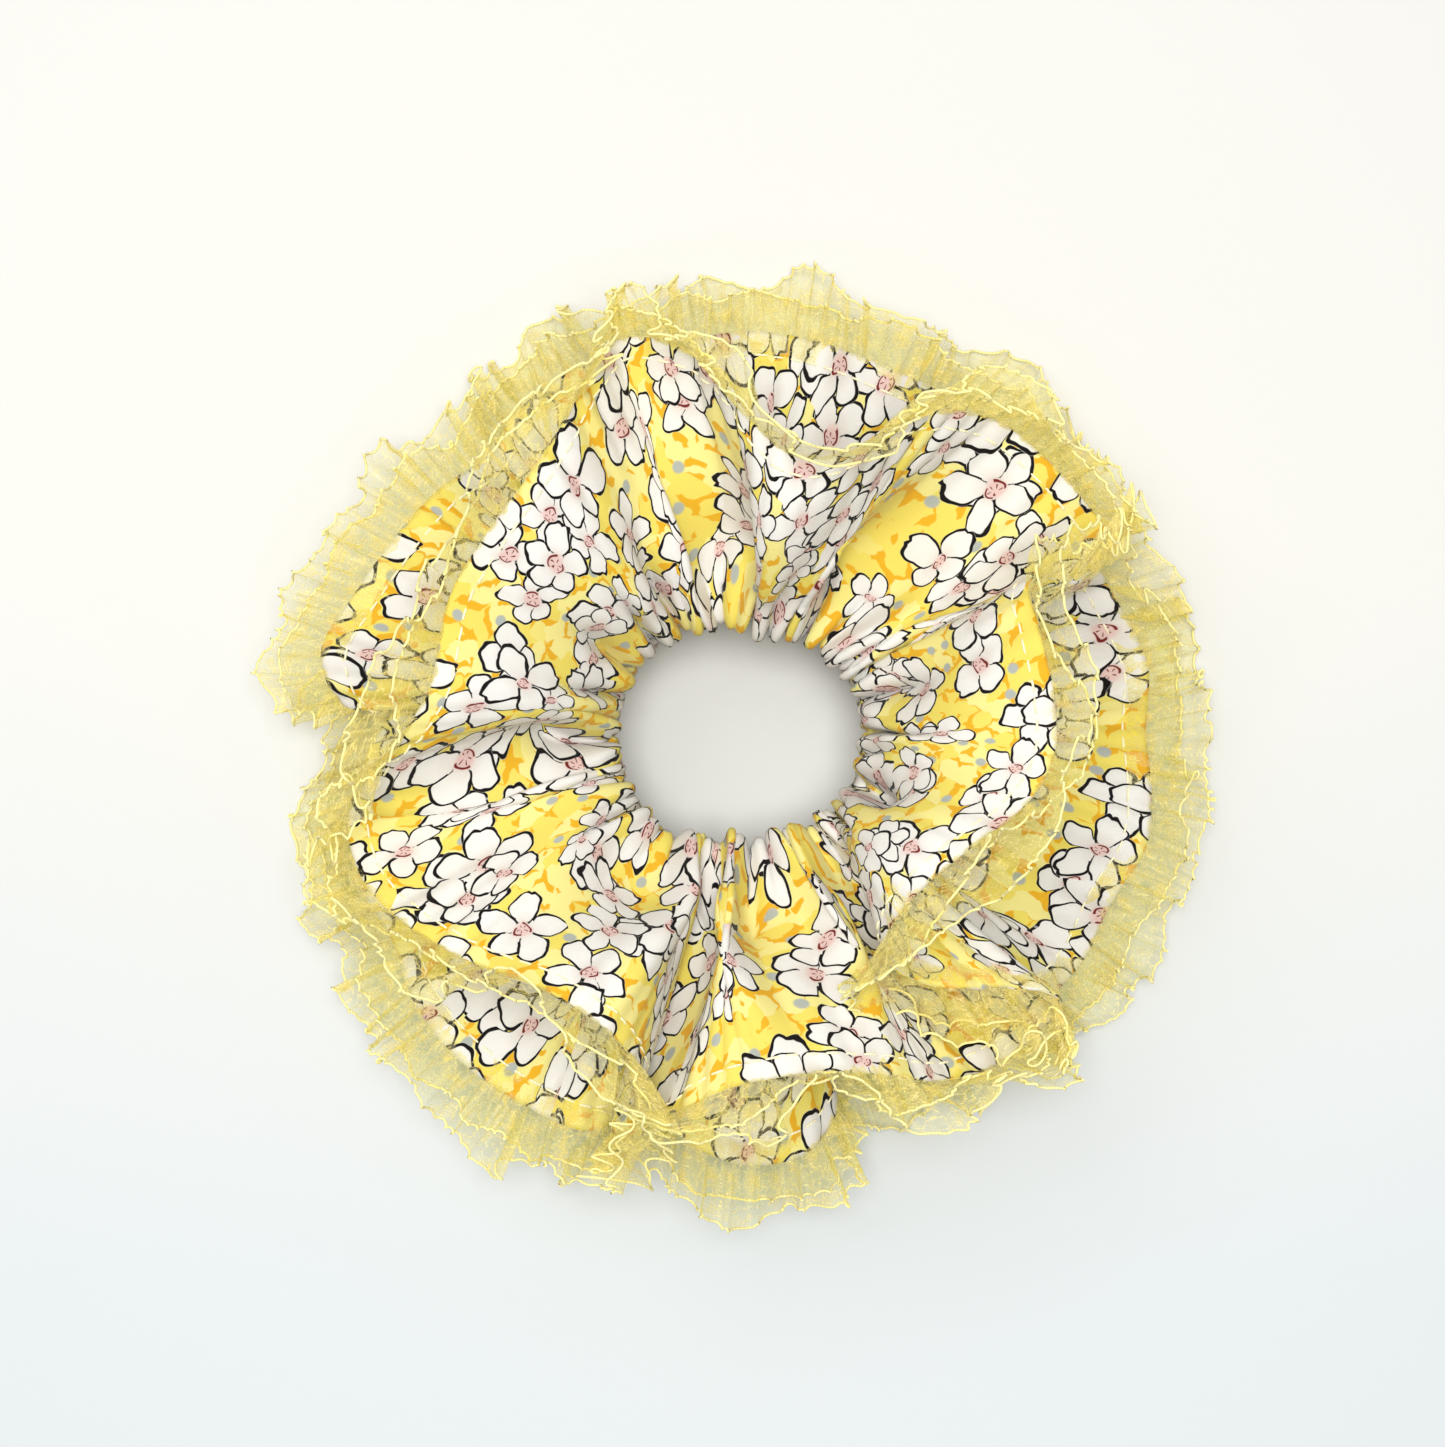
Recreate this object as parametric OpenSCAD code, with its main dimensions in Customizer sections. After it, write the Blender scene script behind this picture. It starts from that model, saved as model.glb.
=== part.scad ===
// Frilled scrunchie: an elastic runs in a gathered cloth channel, and two doubled cloth frills
// with gathered organza trim stand above and below it.
// The origin is the centre of the hair opening, halfway up the channel. +Z is up.

/* [Elastic] */
// Width of the flat elastic, along Z
elastic_width = 6; // [3:0.5:12]
// Thickness of the elastic
elastic_thickness = 0.8; // [0.5:0.1:1.5]
// Length over which the two ends of the elastic lie on each other
elastic_lap = 12; // [6:1:20]

/* [Channel] */
// Diameter of the hair opening with the elastic relaxed
opening_d = 40; // [30:1:60]
// Thickness of the puckered channel cloth
channel_wall = 0.6; // [0.4:0.1:1.2]
// Free height above and below the elastic inside the channel
channel_ease = 2.4; // [0.5:0.1:5]
// Free depth behind the lapped elastic inside the channel
channel_fullness = 1.8; // [0.5:0.1:5]
// Gap between the elastic and the inner wall of the channel
elastic_clearance = 0.5; // [0.3:0.1:1]

/* [Frills] */
// Width of a frill's cloth from the channel to its hem
frill_width = 46; // [34:1:60]
// Thickness of one layer of frill cloth
cloth_thickness = 0.4; // [0.2:0.05:0.6]
// Gap between the two cloth layers of a frill
layer_gap = 0.7; // [0.7:0.05:1.2]
// Part of the cloth's width by which the upper hem stands out where it stands out most
upper_flare = 0.92; // [0.6:0.02:0.98]
// Part of the cloth's width by which the lower hem stands out where it stands out most
lower_flare = 0.98; // [0.7:0.02:1]
// Height of the lower hem's highest wave above its lowest
lower_hem_lift = 20; // [8:1:26]
// Drop from the channel's middle to the surface that the lower frill rests on
rest_depth = 21; // [18:1:32]

/* [Trim] */
// Width of organza that shows beyond the hem
trim_width = 10; // [5:0.5:18]
// Width of organza caught between the cloth layers
trim_tuck = 4; // [3:0.5:6]
// Thickness of the organza
trim_thickness = 0.2; // [0.1:0.05:0.3]

/* [Stitching] */
// Diameter of the sewing thread
thread_d = 0.4; // [0.3:0.05:0.5]
// Distance of the topstitching from the hem
topstitch_inset = 3; // [1.5:0.5:6]
// Angle of the seam that joins the short ends of each cloth strip
end_seam_angle = 252; // [0:2:358]

/* [Hidden] */

$fn = 96;
cloth_colour = "#F5E58A";
lining_colour = "#EFE9D8";
trim_colour = "#F0DF7C";
thread_colour = "#FAF6E6";
elastic_colour = "#FFFFFF";

// Gap that keeps a thread clear of the cloth it lies on
sewing_gap = 0.15;
thread_r = thread_d / 2;

// Channel and elastic
elastic_r = opening_d / 2 + channel_wall + elastic_clearance;
lap_r = elastic_r + elastic_thickness;
lap_angle = elastic_lap / lap_r * 180 / PI;
lap_outer_r = lap_r + elastic_thickness;
cavity_r = lap_outer_r + sewing_gap + thread_d + channel_fullness;
cavity_height = elastic_width + 2 * channel_ease;
channel_r = cavity_r + channel_wall;
channel_height = cavity_height + 2 * channel_wall;

// Where the frills start, as radius and as height above or below the channel
frill_root_r = opening_d / 2 + 2.5;
frill_root_gap = layer_gap / 2 + cloth_thickness + 0.45;
frill_root_z = channel_height / 2 + frill_root_gap;
// Distance from a frill's middle surface to its outside
half_frill = layer_gap / 2 + cloth_thickness;
// Height that a cloth strip gains for its width, less what its small folds take up
crest_share = 0.82;
// Slope of a frill near its root and near its hem
upper_bell = [1.3, 1.5];
lower_bell = [1.0, 2.2];
// Dip of a lower wave below the channel, as a share of the wave's lift
lower_dip = 0.3;
// Least length of cloth for a step of v, as a share of the cloth's width
least_pace = 0.5;

// Hem waves, every 10 degrees from +X: how far the hem stands out, as a share of the most
wave_step = 10;
upper_run_shares = [
    0.56, 0.54, 0.69, 0.95, 1.00, 0.92, 0.72, 0.46, 0.42, 0.59, 0.88, 0.92,
    0.72, 0.65, 0.68, 0.65, 0.63, 0.63, 0.74, 0.92, 0.92, 0.83, 0.72, 0.60,
    0.60, 0.72, 0.97, 0.74, 0.69, 0.74, 0.91, 1.00, 0.82, 0.42, 0.46, 0.54
];
lower_run_shares = [
    1.00, 0.99, 0.94, 0.93, 0.96, 0.99, 0.96, 0.97, 1.00, 0.99, 0.96, 0.97,
    0.96, 0.97, 0.97, 0.99, 1.00, 1.00, 0.91, 0.93, 0.96, 0.97, 1.00, 0.99,
    0.94, 0.94, 0.97, 1.00, 0.97, 0.82, 0.80, 0.86, 0.94, 0.97, 0.99, 1.00
];
// The lower hem's height as a share of its lift
lower_lift_shares = [
    0.10, 0.00, 0.15, 0.55, 0.30, 0.00, 0.35, 0.60, 0.15, 0.00, 0.40, 0.50,
    0.05, 0.25, 0.75, 0.95, 1.00, 0.85, 0.30, 0.00, 0.10, 0.40, 0.85, 0.95,
    0.50, 0.05, 0.60, 0.95, 0.80, 0.20, 0.00, 0.30, 0.60, 0.10, 0.35, 0.40
];

// Divisions round a frill and places across it, from 0 at the root to 1 at the hem
station_step = 6;
tuck_v = 1 - trim_tuck / frill_width;
gather_v = tuck_v - (sewing_gap + thread_r) / (least_pace * frill_width);
stitch_v = 1 - topstitch_inset / frill_width;
inner_rows = [0, 0.2, 0.45, 0.7];
hem_rows = stitch_v > tuck_v
    ? [gather_v, tuck_v, stitch_v, 1]
    : stitch_v < gather_v ? [stitch_v, gather_v, tuck_v, 1] : [gather_v, tuck_v, 1];
cloth_rows = concat(inner_rows, hem_rows);
seam_angle = station_step * round(end_seam_angle / station_step);
thread_sides = 6;

// A smooth value at an angle from a list of values spaced evenly round the circle
function wave(shares, angle) =
    let (
        count = len(shares),
        place = angle / wave_step,
        i = floor(place),
        t = place - i,
        a = shares[(i + count - 1) % count],
        b = shares[(i + count) % count],
        c = shares[(i + count + 1) % count],
        d = shares[(i + count + 2) % count]
    )
    b + t / 2 * (c - a + t * (2 * a - 5 * b + 4 * c - d + t * (3 * (b - c) + d - a)));

// Middle surface of a frill as [radius, height]; v runs from the root at 0 to the hem at 1
function upper_profile(angle, v) =
    let (
        run = upper_flare * frill_width * wave(upper_run_shares, angle),
        rise = crest_share * sqrt(frill_width * frill_width - run * run)
    )
    [
        frill_root_r + run * pow(v, upper_bell[0]),
        frill_root_z + rise * (1 - pow(1 - v, upper_bell[1]))
    ];

function lower_profile(angle, v) =
    let (
        run = lower_flare * frill_width * wave(lower_run_shares, angle),
        lift = lower_hem_lift * max(0, wave(lower_lift_shares, angle)),
        drop = rest_depth - half_frill - lift - frill_root_z,
        dip = lower_dip * lift * v * pow(1 - v, 3) * 256 / 27
    )
    [
        frill_root_r + run * pow(v, lower_bell[0]),
        -frill_root_z - dip - drop * (1 - pow(1 - v, lower_bell[1]))
    ];

// Point on a frill's middle surface
function middle_point(upper, angle, v) =
    let (at = upper ? upper_profile(angle, v) : lower_profile(angle, v))
    [at[0] * cos(angle), at[0] * sin(angle), at[1]];

// Point on a frill, moved off its middle surface towards the face; past the hem it goes on level
function frill_point(upper, angle, v, off, beyond = 0) =
    let (
        step = 0.01,
        outwards =
            middle_point(upper, angle, min(1, v + step)) - middle_point(upper, angle, max(0, v - step)),
        round_it = middle_point(upper, angle + 1, v) - middle_point(upper, angle - 1, v),
        square = cross(outwards, round_it)
    )
    middle_point(upper, angle, v) + off * square / norm(square)
        + beyond * [cos(angle), sin(angle), 0];

angles = [for (angle = [0 : station_step : 359]) angle];

// Closed ring of cloth between two grids of points, given as one list of rows per angle
module cloth_ring(top, bottom) {
    n = len(top);
    m = len(top[0]);
    points = concat([for (row = top) each row], [for (row = bottom) each row]);
    function at(i, j, side) = side * n * m + (i % n) * m + j;
    function pair(a, b, c, d) = [[a, b, c], [a, c, d]];
    faces = [
        for (i = [0 : n - 1]) each concat(
            [for (j = [0 : m - 2]) each
                pair(at(i, j, 0), at(i + 1, j, 0), at(i + 1, j + 1, 0), at(i, j + 1, 0))],
            [for (j = [0 : m - 2]) each
                pair(at(i, j, 1), at(i, j + 1, 1), at(i + 1, j + 1, 1), at(i + 1, j, 1))],
            pair(at(i, 0, 1), at(i + 1, 0, 1), at(i + 1, 0, 0), at(i, 0, 0)),
            pair(at(i, m - 1, 0), at(i + 1, m - 1, 0), at(i + 1, m - 1, 1), at(i, m - 1, 1))
        )
    ];
    polyhedron(points, faces);
}

// Thread along a list of points, either round to its start or with two flat ends
module thread_run(path, closed) {
    n = len(path);
    rings = [
        for (i = [0 : n - 1])
        let (
            before = path[closed ? (i + n - 1) % n : max(0, i - 1)],
            after = path[closed ? (i + 1) % n : min(n - 1, i + 1)],
            side = cross(after - before, [path[i][0], path[i][1], 0]),
            across = side / norm(side),
            lift = cross(across, after - before),
            up = lift / norm(lift)
        )
        [for (k = [0 : thread_sides - 1])
            let (turn = 360 * k / thread_sides)
            path[i] + thread_r * (cos(turn) * across + sin(turn) * up)]
    ];
    function at(i, k) = (i % n) * thread_sides + k % thread_sides;
    last = closed ? n - 1 : n - 2;
    walls = [
        for (i = [0 : last], k = [0 : thread_sides - 1]) each [
            [at(i, k), at(i, k + 1), at(i + 1, k + 1)],
            [at(i, k), at(i + 1, k + 1), at(i + 1, k)]
        ]
    ];
    ends = closed ? [] : [
        [for (k = [thread_sides - 1 : -1 : 0]) at(0, k)],
        [for (k = [0 : thread_sides - 1]) at(n - 1, k)]
    ];
    polyhedron([for (ring = rings) each ring], concat(walls, ends));
}

// Ring with a rectangular section between two radii, centred on the XY plane
module flat_ring(inner_r, outer_r, height, angle = 360) {
    rotate_extrude(angle = angle)
        translate([inner_r, -height / 2])
        square([outer_r - inner_r, height]);
}

// One cloth layer of a frill, between two distances from its middle surface
module frill_layer(upper, high, low) {
    cloth_ring(
        [for (angle = angles) [for (v = cloth_rows) frill_point(upper, angle, v, high)]],
        [for (angle = angles) [for (v = cloth_rows) frill_point(upper, angle, v, low)]]
    );
}

// Organza from its caught edge, between the cloth layers, to its free edge past the hem
module trim_ring(upper) {
    half = trim_thickness / 2;
    places = [[tuck_v, 0], [1, 0], [1, trim_width / 2], [1, trim_width]];
    cloth_ring(
        [for (angle = angles) [for (p = places) frill_point(upper, angle, p[0], half, p[1])]],
        [for (angle = angles) [for (p = places) frill_point(upper, angle, p[0], -half, p[1])]]
    );
}

// Thread round a frill at one place across it, off its middle surface
module thread_round(upper, v, off) {
    thread_run([for (angle = angles) frill_point(upper, angle, v, off)], true);
}

// Thread that closes a frill's end seam, on the lining side, from near its root to its topstitching
module end_seam_thread(upper) {
    off = -(half_frill + sewing_gap + thread_r);
    rows = [for (i = [1 : len(cloth_rows) - 2]) cloth_rows[i]];
    thread_run([for (v = rows) frill_point(upper, seam_angle, v, off)], false);
}

// Thread that joins a frill to the channel, on the channel's edge behind the frill's root
module joining_thread(side) {
    seam_r = frill_root_r + half_frill + 1.3;
    translate([0, 0, side * (channel_height / 2 + sewing_gap + thread_r)])
        rotate_extrude()
        translate([seam_r, 0])
        circle(r = thread_r, $fn = 24);
}

module elastic_band() {
    color(elastic_colour) union() {
        flat_ring(elastic_r, lap_r, elastic_width);
        flat_ring(lap_r, lap_outer_r, elastic_width, lap_angle);
    }
}

module elastic_lap_stitching() {
    seam_r = lap_outer_r + sewing_gap + thread_r;
    zigzags = 10;
    half_height = elastic_width * 0.32;
    path = [
        for (i = [0 : zigzags])
        let (angle = lap_angle * (i + 1) / (zigzags + 2))
        [seam_r * cos(angle), seam_r * sin(angle), i % 2 == 0 ? half_height : -half_height]
    ];
    color(thread_colour) thread_run(path, false);
}

module elastic_channel() {
    color(cloth_colour) difference() {
        flat_ring(opening_d / 2, channel_r, channel_height);
        flat_ring(opening_d / 2 + channel_wall, cavity_r, cavity_height);
    }
}

module channel_end_seam_stitching() {
    color(thread_colour)
        rotate([0, 0, seam_angle])
        translate([channel_r + sewing_gap + thread_r, 0, -cavity_height / 2])
        cylinder(h = cavity_height, r = thread_r, $fn = 24);
}

module upper_frill_face_cloth() {
    color(cloth_colour) frill_layer(true, half_frill, layer_gap / 2);
}

module upper_frill_lining_cloth() {
    color(lining_colour) frill_layer(true, -layer_gap / 2, -half_frill);
}

module upper_organza_trim() {
    color(trim_colour) trim_ring(true);
}

module upper_trim_gathering_thread() {
    color(thread_colour) thread_round(true, gather_v, 0);
}

module upper_hem_topstitching() {
    color(thread_colour) thread_round(true, stitch_v, half_frill + sewing_gap + thread_r);
}

module upper_frill_joining_seam() {
    color(thread_colour) joining_thread(1);
}

module upper_frill_end_seam_stitching() {
    color(thread_colour) end_seam_thread(true);
}

module lower_frill_face_cloth() {
    color(cloth_colour) frill_layer(false, half_frill, layer_gap / 2);
}

module lower_frill_lining_cloth() {
    color(lining_colour) frill_layer(false, -layer_gap / 2, -half_frill);
}

module lower_organza_trim() {
    color(trim_colour) trim_ring(false);
}

module lower_trim_gathering_thread() {
    color(thread_colour) thread_round(false, gather_v, 0);
}

module lower_hem_topstitching() {
    color(thread_colour) thread_round(false, stitch_v, half_frill + sewing_gap + thread_r);
}

module lower_frill_joining_seam() {
    color(thread_colour) joining_thread(-1);
}

module lower_frill_end_seam_stitching() {
    color(thread_colour) end_seam_thread(false);
}

elastic_band();
elastic_lap_stitching();
elastic_channel();
channel_end_seam_stitching();
upper_frill_face_cloth();
upper_frill_lining_cloth();
upper_organza_trim();
upper_trim_gathering_thread();
upper_hem_topstitching();
upper_frill_joining_seam();
upper_frill_end_seam_stitching();
lower_frill_face_cloth();
lower_frill_lining_cloth();
lower_organza_trim();
lower_trim_gathering_thread();
lower_hem_topstitching();
lower_frill_joining_seam();
lower_frill_end_seam_stitching();
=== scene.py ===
"""Frilled scrunchie: doubled floral cotton frills, edged with pleated organza, on an elastic channel.

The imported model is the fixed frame. Its elastic and the zigzag on it stay as they are and get a finish.
The cloth, the organza and the threads on them are modelled here in the places that the frame gives.
"""

import logging
import math
from dataclasses import dataclass, field
from enum import Enum
from typing import Any

import bpy
import numpy as np
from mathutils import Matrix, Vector


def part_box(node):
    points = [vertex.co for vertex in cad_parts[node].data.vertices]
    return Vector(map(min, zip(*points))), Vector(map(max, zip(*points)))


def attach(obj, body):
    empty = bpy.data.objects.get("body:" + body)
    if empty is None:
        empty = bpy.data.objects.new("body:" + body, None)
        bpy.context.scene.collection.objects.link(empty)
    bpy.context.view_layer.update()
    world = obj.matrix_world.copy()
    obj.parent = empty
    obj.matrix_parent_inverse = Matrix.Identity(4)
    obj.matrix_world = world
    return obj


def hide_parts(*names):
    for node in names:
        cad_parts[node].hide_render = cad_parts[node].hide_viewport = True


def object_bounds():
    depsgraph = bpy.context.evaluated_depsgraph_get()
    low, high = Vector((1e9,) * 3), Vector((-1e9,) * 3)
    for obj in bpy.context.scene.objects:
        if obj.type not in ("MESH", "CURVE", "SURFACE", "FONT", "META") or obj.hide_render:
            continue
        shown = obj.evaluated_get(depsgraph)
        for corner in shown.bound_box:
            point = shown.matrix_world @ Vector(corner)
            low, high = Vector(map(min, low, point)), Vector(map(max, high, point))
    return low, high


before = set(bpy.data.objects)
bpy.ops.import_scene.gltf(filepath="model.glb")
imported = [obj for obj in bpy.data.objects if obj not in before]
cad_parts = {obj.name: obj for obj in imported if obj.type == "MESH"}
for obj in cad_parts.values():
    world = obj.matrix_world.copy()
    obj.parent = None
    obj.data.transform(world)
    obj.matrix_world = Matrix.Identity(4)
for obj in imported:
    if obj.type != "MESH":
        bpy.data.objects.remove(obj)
CAD_BOX = [[float(x) for x in corner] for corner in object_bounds()]

logging.basicConfig(level=logging.INFO, format="%(message)s")
log = logging.getLogger("scrunchie")

MM = 0.001
# The pieces' UV maps are in tenths of a metre of cloth
UV_FROM_METRES = 10
MM_FROM_CLOTH_UV = (100, 100, 0)
MM_FROM_METRES = (1000, 1000, 1000)
Grid = np.ndarray
Piece = bpy.types.Object
Material = bpy.types.Material
Station = tuple[float, float, float]


class Side(Enum):
    """Which frill: the one above the channel or the one below it."""

    UPPER = 1
    LOWER = -1


# ---- numbers and curves


def linear(hex_colour: str) -> tuple[float, float, float, float]:
    """Turns an sRGB hex colour into linear light.

    Args:
        hex_colour: Six hex digits after a hash.

    Returns:
        Red, green, blue and an alpha of one.
    """
    parts = [int(hex_colour[i : i + 2], 16) / 255 for i in (1, 3, 5)]
    values = [c / 12.92 if c <= 0.04045 else ((c + 0.055) / 1.055) ** 2.4 for c in parts]
    return (values[0], values[1], values[2], 1.0)


def smooth_step(low: float, high: float, value: Grid) -> Grid:
    """Rises smoothly from 0 at low to 1 at high.

    Args:
        low: Where the rise starts.
        high: Where the rise ends.
        value: Places to read it at.

    Returns:
        The value of the step at each place.
    """
    t = np.clip((value - low) / (high - low), 0, 1)
    return t * t * (3 - 2 * t)


def hump(low: float, crest: float, high: float, value: Grid) -> Grid:
    """A smooth hump that is 0 at low and high and 1 at crest.

    Args:
        low: Where it starts.
        crest: Where it is highest.
        high: Where it ends.
        value: Places to read it at.

    Returns:
        The hump's height at each place.
    """
    return smooth_step(low, crest, value) * (1 - smooth_step(crest, high, value))


def ripple(turns: Grid, crests: int, spread: float, seed: int, shift: float = 0.0) -> Grid:
    """An irregular wave that closes on itself round the scrunchie.

    Args:
        turns: Places round the strip, one turn being 1.
        crests: About how many crests one turn has.
        spread: How far the crests' spacing varies, as a share of it.
        seed: Chooses one such wave.
        shift: How far along its own length each crest is moved, in radians.

    Returns:
        The wave's height at each place, about -1 to 1 for most of it.
    """
    rng = np.random.default_rng(seed)
    orders = np.arange(max(1, int(crests * (1 - spread))), int(crests * (1 + spread)) + 2)
    sizes = rng.uniform(0.4, 1.0, len(orders))
    starts = rng.uniform(0, math.tau, len(orders)) + shift
    wave = np.zeros_like(turns)
    for order, size, start in zip(orders, sizes, starts):
        wave += size * np.cos(math.tau * order * turns + start)
    return wave / (1.4 * math.sqrt((sizes**2).sum() / 2))


def gathered(wave: Grid) -> Grid:
    """Reshapes a wave into broad rounded ridges with narrow valleys between them, as gathers have."""
    return 0.75 - 0.5 * (1 - np.clip(wave, -1.3, 1.3)) ** 2


def reach_along(points: Grid) -> Grid:
    """Measures a line.

    Args:
        points: Its points, one row each.

    Returns:
        The distance along it at each point.
    """
    return np.concatenate([[0], np.cumsum(np.linalg.norm(np.diff(points, axis=0), axis=1))])


def closed_up(rows: Grid) -> Grid:
    """The rows with the first again after the last."""
    return np.vstack([rows, rows[:1]])


def read_rows(places: Grid, known: Grid, rows: Grid) -> Grid:
    """Reads rows of numbers between the places where they are known.

    Args:
        places: Where to read them.
        known: The places of the rows.
        rows: The numbers, one row for each known place.

    Returns:
        One row for each place.
    """
    return np.column_stack([np.interp(places, known, column) for column in rows.T])


def ahead_of(points: Grid) -> Grid:
    """The direction of a closed line at each of its points."""
    return unit(np.roll(points, -1, 0) - np.roll(points, 1, 0))


def even_loop(points: Grid, count: int) -> Grid:
    """Walks a closed line in even steps.

    Args:
        points: The line's points, one row each.
        count: How many points to return.

    Returns:
        Evenly spaced points, starting at the line's first.
    """
    loop = closed_up(points)
    reach = reach_along(loop)
    return read_rows(np.linspace(0, reach[-1], count, endpoint=False), reach, loop)


def smooth_loop(stations: Grid, count: int) -> Grid:
    """A smooth closed curve through stations, as a centripetal Catmull-Rom spline.

    Args:
        stations: The points it passes through.
        count: How many points to return.

    Returns:
        Points evenly spaced along the curve.
    """
    per_span = 24
    before, here = np.roll(stations, 1, 0), stations
    after, beyond = np.roll(stations, -1, 0), np.roll(stations, -2, 0)
    k1 = np.sqrt(np.linalg.norm(here - before, axis=1))
    k2 = k1 + np.sqrt(np.linalg.norm(after - here, axis=1))
    k3 = k2 + np.sqrt(np.linalg.norm(beyond - after, axis=1))
    k1, k2, k3 = (k[:, None, None] for k in (k1, k2, k3))
    p0, p1, p2, p3 = (p[:, None, :] for p in (before, here, after, beyond))
    t = k1 + (k2 - k1) * np.linspace(0, 1, per_span, endpoint=False)[None, :, None]
    a1 = p0 + (p1 - p0) * t / k1
    a2 = p1 + (p2 - p1) * (t - k1) / (k2 - k1)
    a3 = p2 + (p3 - p2) * (t - k2) / (k3 - k2)
    b1 = a1 + (a2 - a1) * t / k2
    b2 = a2 + (a3 - a2) * (t - k1) / (k3 - k1)
    curve = b1 + (b2 - b1) * (t - k1) / (k2 - k1)
    return even_loop(curve.reshape(-1, stations.shape[1]), count)


def blurred_loop(values: Grid, share: float) -> Grid:
    """Blurs values that run round a loop.

    Args:
        values: One row for each place round the loop.
        share: The blur's reach as a share of the loop.

    Returns:
        The blurred values.
    """
    spectrum = np.fft.rfft(values, axis=0)
    orders = np.arange(spectrum.shape[0])
    keep = np.exp(-0.5 * (math.tau * share * orders) ** 2)
    shape = (-1,) + (1,) * (values.ndim - 1)
    return np.fft.irfft(spectrum * keep.reshape(shape), n=len(values), axis=0)


def unit(vectors: Grid) -> Grid:
    """The same directions at length 1."""
    return vectors / np.maximum(np.linalg.norm(vectors, axis=-1, keepdims=True), 1e-12)


def face_normals(points: Grid) -> Grid:
    """Directions square to a sheet that runs round the scrunchie, towards its face.

    Args:
        points: A grid, round the scrunchie by out from it, by 3.

    Returns:
        A unit vector for each point.
    """
    round_it = np.roll(points, -1, 0) - np.roll(points, 1, 0)
    outwards = np.gradient(points, axis=1)
    return unit(np.cross(outwards, round_it))


# ---- meshes


def grid_corners(first: Grid, second: Grid, after: Grid, beyond: Grid, width: int) -> Grid:
    """Lists the corners of the four-sided faces of a grid of points.

    Args:
        first: Each face's row.
        second: Each face's column.
        after: The row after each.
        beyond: The column after each.
        width: How many points a row of the grid has.

    Returns:
        Four point numbers for each face, round it from row and column.
    """
    corners = [first * width + second, after * width + second, after * width + beyond, first * width + beyond]
    return np.stack(corners, -1).reshape(-1, 4)


def grid_uv(u0: Grid, u1: Grid, v0: Grid, v1: Grid) -> Grid:
    """Lists the UV places of the faces' corners, in the order of grid_corners.

    Args:
        u0: Each face's u at its row, in metres.
        u1: Each face's u at the row after.
        v0: Each face's v at its column.
        v1: Each face's v at the column after.

    Returns:
        A UV place for each corner, in tenths of a metre.
    """
    places = [np.stack(pair, -1) for pair in ((u0, v0), (u1, v0), (u1, v1), (u0, v1))]
    return np.stack(places, axis=2).reshape(-1, 2) * UV_FROM_METRES


def sheet_object(name: str, points: Grid, across: Grid, along: float, seam: float = 0.0) -> Piece:
    """Makes a sheet that closes round the scrunchie, with a UV map in tenths of a metre of cloth.

    Args:
        name: The piece's name.
        points: A grid in metres, round the scrunchie by out from it, by 3.
        across: How far across the cloth each column of the grid is, in metres.
        along: The cloth strip's length, in metres.
        seam: Where round the strip its two ends are joined, one turn being 1.

    Returns:
        The new object.
    """
    n, m = points.shape[:2]
    first, second = np.meshgrid(np.arange(n), np.arange(m - 1), indexing="ij")
    quads = grid_corners(first, second, (first + 1) % n, second + 1, m)[:, ::-1]
    u = (first - round(seam * n)) % n / n * along
    uv = grid_uv(u, u + along / n, across[second + 1], across[second])
    return mesh_object(name, points.reshape(-1, 3), quads, uv)


def mesh_object(name: str, points: Grid, faces: Grid, uv: Grid | None = None) -> Piece:
    """Makes a mesh object from arrays.

    Args:
        name: The piece's name.
        points: Points in metres, one row each.
        faces: Corner numbers, one row a face, all with as many corners.
        uv: One UV place for each corner of each face.

    Returns:
        The new object, smooth shaded.
    """
    mesh = bpy.data.meshes.new(name)
    count, corners = faces.shape
    mesh.vertices.add(len(points))
    mesh.vertices.foreach_set("co", points.astype(np.float32).ravel())
    mesh.loops.add(count * corners)
    mesh.loops.foreach_set("vertex_index", faces.astype(np.int32).ravel())
    mesh.polygons.add(count)
    mesh.polygons.foreach_set("loop_start", np.arange(0, count * corners, corners, dtype=np.int32))
    mesh.polygons.foreach_set("use_smooth", np.ones(count, dtype=bool))
    if uv is not None:
        layer = mesh.uv_layers.new(name="Cloth")
        layer.data.foreach_set("uv", uv.astype(np.float32).ravel())
    mesh.update(calc_edges=True)
    mesh.validate()
    piece = bpy.data.objects.new(name, mesh)
    bpy.context.scene.collection.objects.link(piece)
    return piece


def choose(piece: Piece) -> None:
    """Selects one piece alone and makes it active.

    Args:
        piece: The piece.
    """
    bpy.ops.object.select_all(action="DESELECT")
    piece.select_set(True)
    bpy.context.view_layer.objects.active = piece


def thicken(piece: Piece, thickness: float) -> None:
    """Gives a sheet a real thickness, half on each side.

    Args:
        piece: The sheet.
        thickness: Its thickness in metres.
    """
    choose(piece)
    wall = piece.modifiers.new("Thickness", "SOLIDIFY")
    wall.thickness = thickness
    wall.offset = 0
    bpy.ops.object.modifier_apply(modifier=wall.name)


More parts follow.
